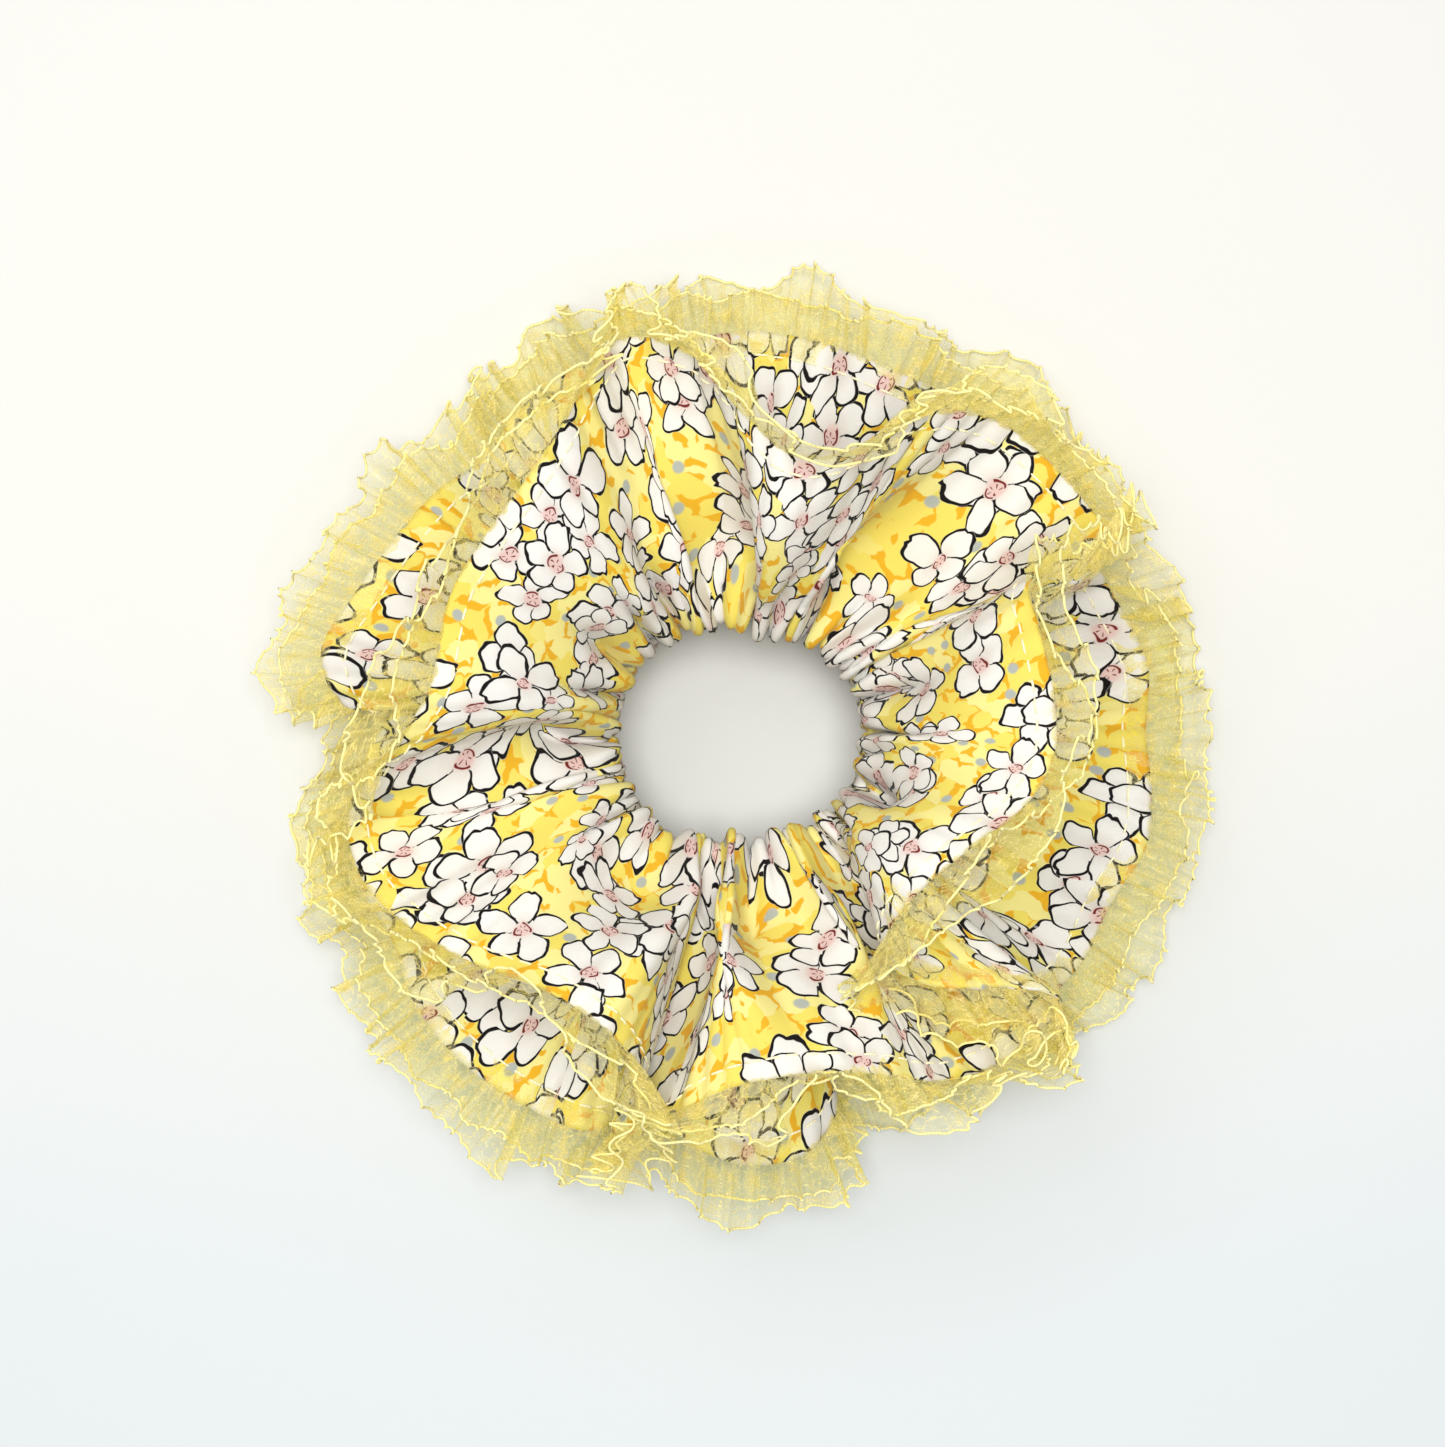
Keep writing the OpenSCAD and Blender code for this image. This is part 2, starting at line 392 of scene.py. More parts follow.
def tube_object(name: str, path: Grid, radius: float, sides: int) -> Piece:
    """Makes a yarn along a closed path, with a UV map whose u is the length along it.

    Args:
        name: The piece's name.
        path: Points in metres, one row each.
        radius: The yarn's radius in metres.
        sides: How many sides its section has.

    Returns:
        The new object.
    """
    along = ahead_of(path)
    upright = np.where(np.abs(along[:, 2:3]) > 0.9, [[1.0, 0.0, 0.0]], [[0.0, 0.0, 1.0]])
    side = unit(np.cross(along, upright))
    up = np.cross(side, along)
    turn = np.arange(sides) / sides * math.tau
    rings = path[:, None, :] + radius * (
        np.cos(turn)[None, :, None] * side[:, None, :] + np.sin(turn)[None, :, None] * up[:, None, :]
    )
    n = len(path)
    i, k = np.meshgrid(np.arange(n), np.arange(sides), indexing="ij")
    quads = grid_corners(i, k, (i + 1) % n, (k + 1) % sides, sides)
    step = reach_along(closed_up(path))
    uv = grid_uv(step[i], step[i + 1], k / sides * MM, (k + 1) / sides * MM)
    return mesh_object(name, rings.reshape(-1, 3), quads, uv)


@dataclass
class StitchRow:
    """A row of single stitches that lie along a line on cloth."""

    name: str
    length: float = 2.5 * MM
    gap: float = 0.7 * MM
    radius: float = 0.19 * MM
    sink: float = 0.1 * MM

    def one_stitch(self) -> Piece:
        """Models one stitch along X: a short thread whose ends dive into the cloth.

        Returns:
            The stitch, at the origin.
        """
        bpy.ops.object.select_all(action="DESELECT")
        bpy.ops.mesh.primitive_cylinder_add(
            vertices=6, radius=self.radius, depth=self.length * 0.6, rotation=(0, math.pi / 2, 0)
        )
        stitch = bpy.context.active_object
        bpy.ops.object.transform_apply(location=True, rotation=True, scale=True)
        for end in (-1, 1):
            bpy.ops.object.mode_set(mode="EDIT")
            bpy.ops.mesh.select_mode(type="FACE")
            bpy.ops.mesh.select_all(action="DESELECT")
            bpy.ops.object.mode_set(mode="OBJECT")
            for face in stitch.data.polygons:
                face.select = face.normal.x * end > 0.9
            bpy.ops.object.mode_set(mode="EDIT")
            bpy.ops.mesh.extrude_region_move(
                TRANSFORM_OT_translate={"value": (end * self.length * 0.2, 0, -self.radius * 1.8)}
            )
            bpy.ops.transform.resize(value=(1, 0.55, 0.55))
            bpy.ops.object.mode_set(mode="OBJECT")
        return stitch

    def along(self, path: Grid, normals: Grid, closed: bool = True) -> Piece:
        """Sets copies of the stitch end to end along a path.

        Args:
            path: Points on the cloth, in metres.
            normals: The direction out of the cloth at each point.
            closed: Whether the row runs back to its start.

        Returns:
            One object with every stitch.
        """
        pattern = self.one_stitch()
        shape = np.array([v.co for v in pattern.data.vertices])
        # Blender lists extruded faces in another order each run, so they are sorted
        faces = sorted(list(f.vertices) for f in pattern.data.polygons)
        bpy.data.objects.remove(pattern)
        line, out = (closed_up(path), closed_up(normals)) if closed else (path, normals)
        reach = reach_along(line)
        count = max(2, round(reach[-1] / (self.length + self.gap)))
        middles = (np.arange(count) + 0.5) * reach[-1] / count
        half = self.length / 2
        starts, centres, ends = (read_rows(middles + far, reach, line) for far in (-half, 0, half))
        ups = read_rows(middles, reach, out)
        x = unit(ends - starts)
        z = unit(ups - (ups * x).sum(1, keepdims=True) * x)
        y = np.cross(z, x)
        places = (
            centres[:, None, :]
            + z[:, None, :] * (self.radius - self.sink)
            + shape[None, :, 0:1] * x[:, None, :]
            + shape[None, :, 1:2] * y[:, None, :]
            + shape[None, :, 2:3] * z[:, None, :]
        )
        mesh = bpy.data.meshes.new(self.name)
        size = len(shape)
        mesh.from_pydata(
            places.reshape(-1, 3).tolist(),
            [],
            [[corner + k * size for corner in face] for k in range(count) for face in faces],
        )
        for face in mesh.polygons:
            face.use_smooth = True
        mesh.update()
        piece = bpy.data.objects.new(self.name, mesh)
        bpy.context.scene.collection.objects.link(piece)
        return piece


# ---- finishes


@dataclass
class Sketch:
    """A node tree being drawn."""

    tree: Any

    def add(self, kind: str, *values: Any, named: dict[str, Any] | None = None, **settings: Any) -> Any:
        """Adds a node with its settings, its values and its links.

        Args:
            kind: The node's type without its Shader or Node words, such as TexNoise. A word after a
                dot is its operation, or the data type of a Mix.
            values: What its inputs in use take, in order; a socket is linked, None is left alone.
            named: What inputs take by name.
            settings: The node's own settings.

        Returns:
            Its first output in use; the others are in .node.outputs.
        """
        kind, _, choice = kind.partition(".")
        node = self.tree.nodes.new("ShaderNode" + kind)
        if choice:
            settings["data_type" if kind == "Mix" else "operation"] = choice
        for key, value in settings.items():
            setattr(node, key, value)
        pairs = list(zip([socket for socket in node.inputs if socket.enabled], values))
        pairs += [(node.inputs[key], value) for key, value in (named or {}).items()]
        for socket, value in pairs:
            if isinstance(value, bpy.types.NodeSocket):
                self.tree.links.new(value, socket)
            elif value is not None:
                socket.default_value = value
        return next(socket for socket in node.outputs if socket.enabled)


def new_material(name: str) -> tuple[Material, Sketch, Any]:
    """Makes an empty node material.

    Args:
        name: Its name.

    Returns:
        The material, its sketch and the socket that takes its shader.
    """
    material = bpy.data.materials.new(name)
    material.use_nodes = True
    nodes = material.node_tree.nodes
    nodes.clear()
    surface = nodes.new("ShaderNodeOutputMaterial").inputs["Surface"]
    return material, Sketch(material.node_tree), surface


def wobbled(g: Sketch, place: Any, scale: float, detail: float, far: float) -> Any:
    """Moves places about unevenly, so that what is printed there isn't evenly spaced.

    Args:
        g: The tree to draw in.
        place: The places on the cloth.
        scale: The scale of the unevenness.
        detail: How much finer unevenness is in it.
        far: How far apart two places can be moved.

    Returns:
        The moved places.
    """
    wander = g.add("TexNoise", place, scale, detail).node.outputs["Color"]
    middle = g.add("VectorMath.SUBTRACT", wander, (0.5, 0.5, 0.5))
    return g.add("VectorMath.ADD", place, g.add("VectorMath.MULTIPLY", middle, (far, far, 0)))


@dataclass(frozen=True)
class FloralLawn:
    """Cotton lawn, plain woven and screen printed: white outlined flowers on lemon and ochre.

    The flowers' sizes are in units of flower_scale millimetres. A pair is the two ends of a soft edge or
    of a random choice. Cells and dots are spread by shares of their spacing.
    """

    name: str = "printed_cotton_lawn"
    petal: str = "#F6F3ED"
    petal_shade: str = "#EAE1D7"
    centre: str = "#ECC6BE"
    ink: str = "#120C0A"
    stamen: str = "#7A231C"
    lemon: str = "#F7E66E"
    pale_lemon: str = "#FBF19C"
    ochre: str = "#F2BD2A"
    dot: str = "#BCC1B8"
    flower_scale: float = 1.02
    flower_cell: float = 18.0
    flower_scatter: float = 0.8
    flower_wobble: float = 2.1
    flower_shrink: tuple[float, float] = (1.22, 0.86)
    scatters: tuple[tuple[float, float, float], ...] = ((3.0, 8.0, 0.3), (41.0, 27.0, 1.2), (77.0, 61.0, 2.2))
    four_petals_past: float = 0.72
    dented_past: float = 0.6
    petal_middle: float = 3.5
    petal_half_length: float = 2.7
    petal_lengthening: tuple[float, float] = (0.82, 1.28)
    petal_lean: tuple[float, float] = (-0.14, 0.14)
    petal_widths: tuple[float, float] = (9.6, 12.6)
    gap_start: tuple[float, float] = (1.5, 2.7)
    outline: tuple[float, float] = (0.19, 0.26)
    gap_outline: tuple[float, float] = (0.13, 0.2)
    outline_breaks: tuple[float, float] = (0.2, 0.26)
    petal_cover: tuple[float, float] = (0.2, 0.27)
    centre_radius: float = 1.7
    blush: tuple[float, float] = (1.0, 1.75)
    ring_radius: float = 1.2
    stroke_count: float = 5.0
    stroke_start: tuple[float, float] = (0.3, 0.42)
    stroke_end: tuple[float, float] = (0.8, 0.95)
    blotch_mm: float = 3.9
    blotch_scatter: float = 0.9
    blotch_wobble_mm: float = 3.6
    fleck_width: tuple[float, float] = (-0.05, 0.2)
    dot_spacing_mm: float = 8.0
    dot_scatter: float = 0.95
    dot_radius: tuple[float, float] = (0.1, 0.14)
    thread_pitch_mm: float = 0.4
    see_through: float = 0.3

    def petals(self, g: Sketch, local: Any, chance: Any) -> tuple[Any, Any, Any, Any]:
        """Works out how far places are from the edge of a flower's uneven petals.

        Args:
            g: The tree to draw in.
            local: The place from the flower's centre.
            chance: Three random values that belong to the flower.

        Returns:
            The distance outside the petals, the distance from the line between two petals,
            the distance from the centre, and the angle round it.
        """
        parts = g.add("SeparateXYZ", local).node.outputs
        reach = g.add("VectorMath.LENGTH", local)
        angle = g.add("Math.ARCTAN2", parts[1], parts[0])
        # Five petals, or four on some flowers, each with its own length, width and lean
        count = g.add("Math.SUBTRACT", 5.0, g.add("Math.GREATER_THAN", chance[2], self.four_petals_past))
        sectors = g.add("Math.MULTIPLY", g.add("Math.MULTIPLY", angle, 1 / math.tau), count)
        which = g.add("Math.ROUND", sectors)
        past_middle = g.add("Math.MULTIPLY", g.add("Math.SUBTRACT", sectors, which), math.tau)
        swing = g.add("Math.DIVIDE", past_middle, count)
        petal = g.add("Math.FLOORED_MODULO", which, count)
        seed = g.add("Math.MULTIPLY_ADD", chance[2], 37.0, petal)
        noise = g.add("TexWhiteNoise", seed, noise_dimensions="1D").node.outputs["Color"]
        lucks = g.add("SeparateColor", noise).node.outputs
        long, lean, widening, start = (
            g.add("MapRange", luck, 0.0, 1.0, *ends)
            for luck, ends in (
                (lucks[0], self.petal_lengthening),
                (lucks[1], self.petal_lean),
                (lucks[2], self.petal_widths),
                (lucks[1], self.gap_start),
            )
        )
        wide = g.add("Math.DIVIDE", widening, count)
        turned = g.add("Math.ADD", swing, lean)
        outwards = g.add("Math.MULTIPLY", reach, g.add("Math.COSINE", turned))
        sideways = g.add("Math.MULTIPLY", reach, g.add("Math.SINE", turned))
        # The petal's oval, some with a dent in the outer end
        past_petal = g.add("Math.MULTIPLY_ADD", long, -self.petal_middle, outwards)
        x = g.add("Math.DIVIDE", past_petal, g.add("Math.MULTIPLY", long, self.petal_half_length))
        y = g.add("Math.DIVIDE", sideways, wide)
        squares = g.add("Math.MULTIPLY_ADD", y, y, g.add("Math.MULTIPLY", x, x))
        outside = g.add("Math.MULTIPLY_ADD", g.add("Math.SQRT", squares), 2.5, -2.5)
        dent = g.add("MapRange", g.add("Math.ABSOLUTE", sideways), 0.0, 1.0, 0.5, 0.0)
        outer_end = g.add("MapRange", x, 0.3, 0.8)
        dented = g.add("Math.MULTIPLY", g.add("Math.GREATER_THAN", lucks[0], self.dented_past), outer_end)
        edge = g.add("Math.MULTIPLY_ADD", dent, dented, outside)
        # The line between two petals starts at its own distance from the centre
        half_sector = g.add("Math.DIVIDE", math.pi, count)
        to_next = g.add("Math.SUBTRACT", half_sector, g.add("Math.ABSOLUTE", swing))
        between = g.add("Math.MULTIPLY", reach, g.add("Math.SINE", to_next))
        shut = g.add("Math.LESS_THAN", reach, start)
        return edge, g.add("Math.ADD", between, shut), reach, angle

    def flowers(self, g: Sketch, place: Any, x: float, y: float, turn: float) -> tuple[Any, Any]:
        """Draws one scatter of flowers.

        Args:
            g: The tree to draw in.
            place: The place on the cloth, in millimetres.
            x: Where this scatter starts, along the cloth.
            y: Where it starts, across the cloth.
            turn: How far the scatter's grid is turned, in radians.

        Returns:
            The flowers' colour and how far they cover what is under them.
        """
        unit_share = 1 / self.flower_scale
        turned = g.add("VectorRotate", named={"Vector": place, "Angle": turn}, rotation_type="Z_AXIS")
        sized = g.add("VectorMath.MULTIPLY", turned, (unit_share, unit_share, 0))
        moved = g.add("VectorMath.ADD", sized, (x, y, 0))
        drawn = wobbled(g, moved, 0.34, 0.6, self.flower_wobble)
        cells = g.add(
            "TexVoronoi",
            named={"Vector": drawn, "Scale": 1 / self.flower_cell, "Randomness": self.flower_scatter},
            voronoi_dimensions="2D",
        ).node.outputs
        chance = g.add("SeparateColor", cells["Color"]).node.outputs
        local = g.add("VectorMath.SUBTRACT", drawn, cells["Position"])
        spin = g.add("Math.MULTIPLY", chance[0], math.tau)
        spun = g.add("VectorRotate", named={"Vector": local, "Angle": spin}, rotation_type="Z_AXIS")
        size = g.add("MapRange", chance[1], 0.0, 1.0, *self.flower_shrink)
        scaled = g.add("VectorMath.SCALE", spun, size)
        edge, between, reach, angle = self.petals(g, scaled, chance)
        # Ink round each petal and on the line where two meet, broken as a brush breaks
        past_core = g.add("MapRange", reach, 1.45, self.centre_radius)
        rim = g.add("MapRange", g.add("Math.ABSOLUTE", edge), *self.outline, 1.0, 0.0)
        gap_line = g.add("MapRange", between, *self.gap_outline, 1.0, 0.0)
        gap_ink = g.add("Math.MULTIPLY", gap_line, g.add("MapRange", edge, -0.05, 0.05, 1.0, 0.0))
        outline = g.add("Math.MULTIPLY", g.add("Math.MAXIMUM", rim, gap_ink), past_core)
        breaks = g.add("MapRange", g.add("TexNoise", moved, 0.3, 1.0), *self.outline_breaks)
        inked = g.add("Math.MULTIPLY", outline, breaks)
        # Centre: a blush, an open ring and a few short strokes
        blush = g.add("MapRange", reach, *self.blush, 1.0, 0.0)
        spokes = g.add("Math.MULTIPLY_ADD", angle, self.stroke_count, g.add("Math.MULTIPLY", spin, 7.0))
        ray = g.add("MapRange", g.add("Math.SINE", spokes), 0.75, 0.9)
        ray_start = g.add("MapRange", reach, *self.stroke_start)
        ray_end = g.add("MapRange", reach, *self.stroke_end, 1.0, 0.0)
        strokes = g.add("Math.MULTIPLY", ray, g.add("Math.MULTIPLY", ray_start, ray_end))
        off_ring = g.add("Math.ABSOLUTE", g.add("Math.SUBTRACT", reach, self.ring_radius))
        ring = g.add("MapRange", off_ring, 0.1, 0.19, 1.0, 0.0)
        swell = g.add("Math.SINE", g.add("Math.MULTIPLY_ADD", angle, 2.0, spin))
        open_ring = g.add("Math.MULTIPLY", ring, g.add("MapRange", swell, -0.5, -0.3))
        stamens = g.add("Math.MAXIMUM", strokes, open_ring)
        shaded = g.add("MapRange", reach, 1.4, 3.6, 0.7, 0.0)
        blushed = g.add("Math.MULTIPLY", blush, 0.8)
        shares = (shaded, blushed, stamens, inked)
        colour = linear(self.petal)
        for share, over in zip(shares, (self.petal_shade, self.centre, self.stamen, self.ink)):
            colour = g.add("Mix.RGBA", share, colour, linear(over))
        petal_cover = g.add("MapRange", edge, *self.petal_cover, 1.0, 0.0)
        core = g.add("Math.LESS_THAN", reach, self.centre_radius)
        return colour, g.add("Math.MAXIMUM", petal_cover, core)

    def ground(self, g: Sketch, place: Any) -> Any:
        """Draws the lemon ground with its pale blotches, ochre flecks and grey dots.

        Args:
            g: The tree to draw in.
            place: The place on the cloth, in millimetres.

        Returns:
            The ground's colour.
        """
        warped = wobbled(g, place, 0.35, 1.5, self.blotch_wobble_mm)
        blotch = {"Vector": warped, "Scale": 1 / self.blotch_mm, "Randomness": self.blotch_scatter}
        borders = g.add("TexVoronoi", named=blotch, voronoi_dimensions="2D", feature="DISTANCE_TO_EDGE")
        patch = g.add("TexNoise", place, 0.3, 0.5)
        width = g.add("MapRange", patch, 0.42, 0.68, *self.fleck_width)
        fleck = g.add("MapRange", g.add("Math.SUBTRACT", borders, width), -0.012, 0.012, 1.0, 0.0)
        shades = g.add("TexVoronoi", named=blotch, voronoi_dimensions="2D").node.outputs["Color"]
        tone = g.add("SeparateColor", shades).node.outputs[1]
        pale = g.add("MapRange", tone, 0.5, 0.54)
        lemon = g.add("Mix.RGBA", pale, linear(self.lemon), linear(self.pale_lemon))
        ground = g.add("Mix.RGBA", fleck, lemon, linear(self.ochre))
        spots = g.add(
            "TexVoronoi",
            named={"Vector": place, "Scale": 1 / self.dot_spacing_mm, "Randomness": self.dot_scatter},
            voronoi_dimensions="2D",
        ).node.outputs
        round_spot = g.add("MapRange", spots["Distance"], *self.dot_radius, 1.0, 0.0)
        here = g.add("Math.GREATER_THAN", g.add("SeparateColor", spots["Color"]), 0.3)
        return g.add("Mix.RGBA", g.add("Math.MULTIPLY", round_spot, here), ground, linear(self.dot))

    def material(self) -> Material:
        """Makes the printed cloth.

        Returns:
            The material.
        """
        material, g, surface = new_material(self.name)
        place = g.add("VectorMath.MULTIPLY", g.add("UVMap", uv_map="Cloth"), MM_FROM_CLOTH_UV)
        colour = self.ground(g, place)
        for scatter in self.scatters:
            flower, cover = self.flowers(g, place, *scatter)
            colour = g.add("Mix.RGBA", cover, colour, flower)
        # Plain weave, drawn coarser than lawn's quarter millimetre so that it shows
        bands = math.tau / self.thread_pitch_mm
        parts = g.add("SeparateXYZ", place).node.outputs
        warp = g.add("Math.SINE", g.add("Math.MULTIPLY", parts[0], bands))
        weft = g.add("Math.SINE", g.add("Math.MULTIPLY", parts[1], bands))
        weave = g.add("Math.MULTIPLY", warp, weft)
        bump = g.add("Bump", named={"Height": weave, "Strength": 0.25, "Distance": 0.00006})
        # Soft spun cotton: matt, with a faint fuzz, and thin enough to glow with light behind it
        look = {"Roughness": 0.86, "Specular IOR Level": 0.25, "Sheen Weight": 0.12, "Sheen Roughness": 0.5}
        cloth = g.add("BsdfPrincipled", colour, named={"Normal": bump, **look})
        through = g.add("BsdfTranslucent", colour)
        g.tree.links.new(g.add("MixShader", self.see_through, cloth, through), surface)
        return material


@dataclass(frozen=True)
class Organza:
    """Crisp sheer polyester organza, plain woven from fine yellow threads."""

    name: str = "yellow_organza"
    colour: str = "#FFF9D0"
    dense_colour: str = "#FFEC92"
    tint: str = "#FFFEEC"
    cover: float = 0.16
    bunching: tuple[float, float] = (-0.14, 0.22)
    crinkle_mm: float = 1.7
    crinkle_push_mm: float = 1.6
    crinkle_cover: float = 0.5
    thread_pitch_mm: float = 0.6
    seen_through: float = 0.3

    def material(self) -> Material:
        """Makes the sheer ribbon, denser where its threads bunch and where it creases.

        Returns:
            The material.
        """
        material, g, surface = new_material(self.name)
        place = g.add("VectorMath.MULTIPLY", g.add("UVMap", uv_map="Cloth"), MM_FROM_CLOTH_UV)
        shaky = g.add("TexNoise", place, 0.35, 2.5)
        glints = g.add("TexNoise", place, 2.2, 1.0)
        # Threads both ways, drawn several times coarser than organza's so that they show
        parts = g.add("SeparateXYZ", place).node.outputs
        bands = math.tau / self.thread_pitch_mm
        uneven = g.add("Math.MULTIPLY", shaky, 7.0)
        long_thread = g.add("Math.SINE", g.add("Math.MULTIPLY_ADD", parts[1], bands, uneven))
        cross_thread = g.add("Math.SINE", g.add("Math.MULTIPLY_ADD", parts[0], bands, uneven))
        thread = g.add("Math.MAXIMUM", long_thread, cross_thread)
        woven = g.add("MapRange", thread, -0.4, 1.0, self.cover * 0.8, self.cover * 1.2)
        bunched = g.add("MapRange", shaky, 0.4, 0.65, *self.bunching)
        # Sharp crinkles, where the sheer cloth lies double and shows denser and brighter
        push = g.add("TexNoise", place, 0.9, 1.0).node.outputs["Color"]
        far = (self.crinkle_push_mm, self.crinkle_push_mm, 0)
        pushed = g.add("VectorMath.ADD", place, g.add("VectorMath.MULTIPLY", push, far))
        edges = {"voronoi_dimensions": "2D", "feature": "DISTANCE_TO_EDGE"}
        creases = g.add("TexVoronoi", pushed, 1 / self.crinkle_mm, **edges)
        line = g.add("MapRange", creases, 0.03, 0.1, 1.0, 0.0)
        crinkle = g.add("Math.MULTIPLY", line, g.add("MapRange", glints, 0.4, 0.56))
        sheer = g.add("Math.ADD", woven, bunched)
        cover = g.add("Math.MULTIPLY_ADD", crinkle, self.crinkle_cover, sheer, use_clamp=True)
        dense = g.add("Math.MAXIMUM", crinkle, g.add("MapRange", shaky, 0.4, 0.62))
        tone = g.add("Mix.RGBA", dense, linear(self.colour), linear(self.dense_colour))
        height = g.add("Math.MULTIPLY_ADD", glints, 2.2, g.add("Math.ADD", thread, crinkle))
        bump = g.add("Bump", named={"Height": height, "Strength": 0.4, "Distance": 0.0001})
        # Smooth filament threads: a crisp lustre on their backs, and clear gaps between them
        look = {"Roughness": 0.3, "Specular IOR Level": 0.8, "Sheen Weight": 0.3, "Sheen Roughness": 0.3}
        fibre = g.add("BsdfPrincipled", tone, named={"Normal": bump, **look})
        lit = g.add("MixShader", self.seen_through, fibre, g.add("BsdfTranslucent", tone))
        clear = g.add("BsdfTransparent", linear(self.tint))
        g.tree.links.new(g.add("MixShader", cover, clear, lit), surface)
        return material


@dataclass(frozen=True)
class Yarn:
    """Spun polyester thread: two plies twisted together."""

    name: str
    colour: str
    twist_mm: float = 0.6

    def material(self) -> Material:
        """Makes the thread, with the plies' slant as a fine ripple in its bump and as painted shade and
        highlight in its colour.

        Returns:
            The material.
        """
        material, g, surface = new_material(self.name)
        place = g.add("TexCoord").node.outputs["Object"]
        small = g.add("VectorMath.MULTIPLY", place, MM_FROM_METRES)
        plies = g.add("TexWave", named={"Vector": small, "Scale": 0.3 / self.twist_mm, "Distortion": 1.5})
        # Painted shade and highlight: the colour darkens in the grooves between the plies and lightens on
        # their crests
        painted_shading = g.add("MapRange", plies, 0.0, 1.0, 0.88, 1.04)
        tone = g.add("HueSaturation", named={"Color": linear(self.colour), "Value": painted_shading})
        bump = g.add("Bump", named={"Height": plies, "Strength": 0.4, "Distance": 0.00008})
        # Staple fibres scatter light, so the thread is soft rather than glossy
        thread = g.add("BsdfPrincipled", tone, named={"Roughness": 0.6, "Sheen Weight": 0.2, "Normal": bump})
        g.tree.links.new(thread, surface)
        return material


@dataclass(frozen=True)
class WovenElastic:
    """Flat woven elastic: rubber cores in white polyester, ribbed along its length."""

    name: str = "ribbed_woven_elastic"
    colour: str = "#F4F2EC"
    rib_mm: float = 0.9
    picks_round: float = 160.0

    def material(self) -> Material:
        """Makes the ribbed cover, with yarn woven across each rib.

        Returns:
            The material.
        """
        material, g, surface = new_material(self.name)
        place = g.add("TexCoord").node.outputs["Object"]
        parts = g.add("SeparateXYZ", g.add("VectorMath.MULTIPLY", place, MM_FROM_METRES)).node.outputs
        ribs = g.add("Math.MULTIPLY", parts[2], math.tau / self.rib_mm)
        angle = g.add("Math.ARCTAN2", parts[1], parts[0])
        pick = g.add("Math.SINE", g.add("Math.MULTIPLY_ADD", angle, self.picks_round, ribs))
        height = g.add("Math.MULTIPLY_ADD", pick, 0.35, g.add("Math.SINE", ribs))
        # Painted shade: the colour darkens between the ribs and between the picks, where the bump dips
        painted_shading = g.add("MapRange", height, -1.3, 1.3, 0.82, 1.0)
        tone = g.add("HueSaturation", named={"Color": linear(self.colour), "Value": painted_shading})
        bump = g.add("Bump", named={"Height": height, "Strength": 0.6, "Distance": 0.0002})
        # Bulked yarn over rubber: matt and a little fuzzy, with painted shade between the ribs
        cover = g.add("BsdfPrincipled", tone, named={"Roughness": 0.8, "Sheen Weight": 0.15, "Normal": bump})
        g.tree.links.new(cover, surface)
        return material


@dataclass
class Finishes:
    """The materials, each made once."""

    lawn: Material = field(default_factory=lambda: FloralLawn().material())
    organza: Material = field(default_factory=lambda: Organza().material())
    cream_thread: Material = field(
        default_factory=lambda: Yarn("cream_sewing_thread", "#F8F0C8").material()
    )
    yellow_yarn: Material = field(
        default_factory=lambda: Yarn("yellow_edge_yarn", "#FBEE9E").material()
    )
    elastic: Material = field(default_factory=lambda: WovenElastic().material())


def dress(piece: Piece, material: Material, node: str) -> None:
    """Gives a new piece its finish and its body, and hides the node that it stands for.

    Args:
        piece: The piece.
        material: Its finish.
        node: The CAD node that it replaces.
    """
    piece.data.materials.clear()
    piece.data.materials.append(material)
    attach(piece, "cloth")
    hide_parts(node)
    log.info("%s: %d faces", piece.name, len(piece.data.polygons))


# ---- frills

# A frill's gathers: depth, where across the cloth they start, are deepest and end, crests, and spread
GATHERS = (
    (1.3 * MM, (-0.35, 0.03, 0.36), 66, 0.25),
    (2.0 * MM, (-0.05, 0.18, 0.6), 33, 0.35),
    (3.2 * MM, (0.0, 0.34, 1.1), 13, 0.4),
)


